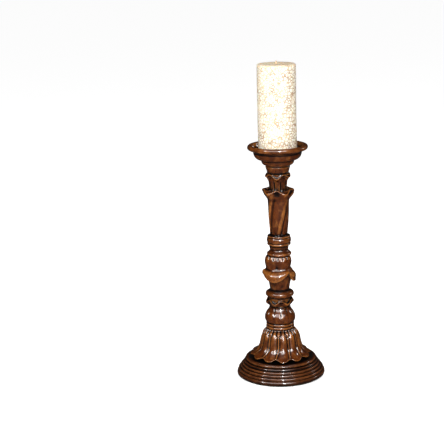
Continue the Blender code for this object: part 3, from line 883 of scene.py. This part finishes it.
def make_spike():
    """A pointed spike on a barrel that takes the top of the tie rod."""
    bottom, top = low("pricket_spike"), high("pricket_spike")
    barrel_top, radius, barrel = bottom + 14, 2.5, 8.0
    outline = [(0, top), (0.2, top - 0.3)]
    outline += fair([(0.3, top - 0.6), (1.3, top - 4), (2.1, top - 8), (radius, top - 11)])
    outline += [(radius, barrel_top), (barrel - 0.5, barrel_top), (barrel, barrel_top - 0.5)]
    outline += [(barrel, bottom), (ROD_BORE, bottom), (ROD_BORE, bottom + 10), (0, bottom + 10)]
    mesh = solid_turning("brass_spike", outline, 72)
    place(mesh, "brass_spike", "pricket_spike", BRASS, sharp=35)


def finish_cad_nodes():
    """Gives the hidden pieces that keep their CAD shape their materials."""
    materials = {"felt_pad": FELT, "tie_rod": STEEL, "base_washer": STEEL, "base_nut": STEEL}
    for node, material in materials.items():
        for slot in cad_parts[node].material_slots:
            slot.material = material


# ---------------------------------------------------------------- stage, light and camera

LIGHT_AIM = 0.25    # height of the point on the axis that the lights face, in metres


def studio_white(seen, glossy, diffuse):
    """A white room: white to the camera, dimmer in reflections so that the lacquer stays deep."""
    world = bpy.data.worlds.new("studio")
    bpy.context.scene.world = world
    world.use_nodes = True
    tree = world.node_tree
    background = tree.nodes["Background"]
    rays = tree.nodes.new("ShaderNodeLightPath")
    lighting = tree.nodes.new("ShaderNodeMix")
    lighting.inputs[2].default_value, lighting.inputs[3].default_value = diffuse, glossy
    tree.links.new(rays.outputs["Is Glossy Ray"], lighting.inputs[0])
    final = tree.nodes.new("ShaderNodeMix")
    final.inputs[3].default_value = seen
    tree.links.new(rays.outputs["Is Camera Ray"], final.inputs[0])
    tree.links.new(lighting.outputs[0], final.inputs[2])
    tree.links.new(final.outputs[0], background.inputs["Strength"])
    background.inputs["Color"].default_value = (1, 1, 1, 1)


def soft_box(name, azimuth, elevation, distance, width, height, radiance, mirrored=True, lit=True):
    """An area light round the stick, aimed at a point on its axis.

    A light that isn't mirrored makes no highlight in the lacquer, and one that isn't lit makes only
    highlights.
    """
    lamp = bpy.data.lights.new(name, "AREA")
    lamp.shape = "RECTANGLE"
    lamp.size, lamp.size_y = width, height
    lamp.energy = radiance * width * height * math.pi
    holder = bpy.data.objects.new(name, lamp)
    bpy.context.scene.collection.objects.link(holder)
    a, e = math.radians(azimuth), math.radians(elevation)
    outward = Vector((math.sin(a) * math.cos(e), -math.cos(a) * math.cos(e), math.sin(e)))
    holder.location = outward * distance + Vector((0, 0, LIGHT_AIM))
    holder.rotation_euler = outward.to_track_quat("Z", "Y").to_euler()
    holder.visible_glossy, holder.visible_diffuse = mirrored, lit


def make_floor():
    """A white floor that looks darker in the lacquer than it does to the camera."""
    mesh = bpy.data.meshes.new("floor")
    side = 30
    corners = [(-side, -side, 0), (side, -side, 0), (side, side, 0), (-side, side, 0)]
    mesh.from_pydata(corners, [], [(0, 1, 2, 3)])
    floor = bpy.data.objects.new("floor", mesh)
    floor.location.z = -0.0003
    bpy.context.scene.collection.objects.link(floor)
    n = Nodes("studio_floor")
    rays = n.add("LightPath")
    n.set(Base_Color=n.mix(rays.outputs["Is Glossy Ray"], (0.93, 0.93, 0.93), (0.03, 0.03, 0.03)))
    n.set(Roughness=1.0, Specular_IOR_Level=0.0, Emission_Color=(1.0, 1.0, 1.0))
    away = n.add("VectorMath", operation="LENGTH")
    n.put(away.inputs[0], n.coordinates())
    seen = n.between(away.outputs["Value"], 0.1, 1.2, 0.5, 0.93)
    glow = n.math("MULTIPLY", rays.outputs["Is Diffuse Ray"], 0.25)
    n.set(Emission_Strength=n.math("ADD", n.math("MULTIPLY", rays.outputs["Is Camera Ray"], seen), glow))
    mesh.materials.append(n.material)


def make_camera():
    """Stands higher than the candle's top, 2.65 m away, and looks slightly left of the stick."""
    camera = bpy.data.cameras.new("camera")
    camera.sensor_width = 36
    camera.lens = 108.65
    holder = bpy.data.objects.new("camera", camera)
    bpy.context.scene.collection.objects.link(holder)
    distance, target, down = 2.65, 0.3142, math.radians(13.2)
    yaw, roll, tilt = math.radians(2.42), math.radians(0.9), math.radians(0.04)
    holder.location = (0, -distance * math.cos(down), target + distance * math.sin(down))
    level = Matrix.Rotation(math.pi / 2 - down, 4, "X")
    own = Matrix.Rotation(yaw, 4, "Y") @ Matrix.Rotation(tilt, 4, "X") @ Matrix.Rotation(-roll, 4, "Z")
    holder.rotation_euler = (level @ own).to_euler()
    bpy.context.scene.camera = holder


make_plinth()
make_bell()
make_bead_collar()
make_bulb()
make_lower_leaf()
make_stem_ring()
make_sleeve()
make_cavetto()
make_bead_ring()
make_twisted_stem()
make_fluted_neck()
make_pan_neck()
make_pan()
make_candle()
make_wick()
make_plate()
for number, screw in enumerate(SCREWS):
    make_screw(screw, 50 * number + 20)
make_spike()
finish_cad_nodes()

make_camera()
make_floor()
studio_white(1.0, 0.012, 0.04)
soft_box("key", 7, 22, 1.7, 0.12, 0.85, 60)
soft_box("key_wide", 15, 26, 1.9, 0.7, 0.9, 5)
soft_box("strip", -8, 42, 1.8, 3.2, 0.25, 6, lit=False)
soft_box("front_wide", -13, 27, 1.9, 0.95, 0.6, 3.6)
soft_box("left_window", -52, 28, 1.7, 0.09, 0.45, 40)
soft_box("left_wide", -41, 28, 1.9, 0.95, 0.6, 2.8)
soft_box("right_window", 30, 24, 1.7, 0.06, 0.3, 25)
soft_box("right_rim", 112, 24, 1.5, 0.1, 0.3, 16)
soft_box("overhead_glow", -15, 60, 2.0, 1.4, 1.2, 0.15)
soft_box("overhead", -15, 62, 2.0, 1.4, 1.2, 3.2, mirrored=False)
soft_box("back_fill", 180, 64, 2.0, 1.2, 0.5, 1.5)
soft_box("back_left", -140, 25, 2.0, 1.2, 0.8, 1.6, mirrored=False)
soft_box("back_right", 140, 25, 2.0, 1.2, 0.8, 1.6, mirrored=False)
bpy.context.scene.view_settings.view_transform = "Standard"
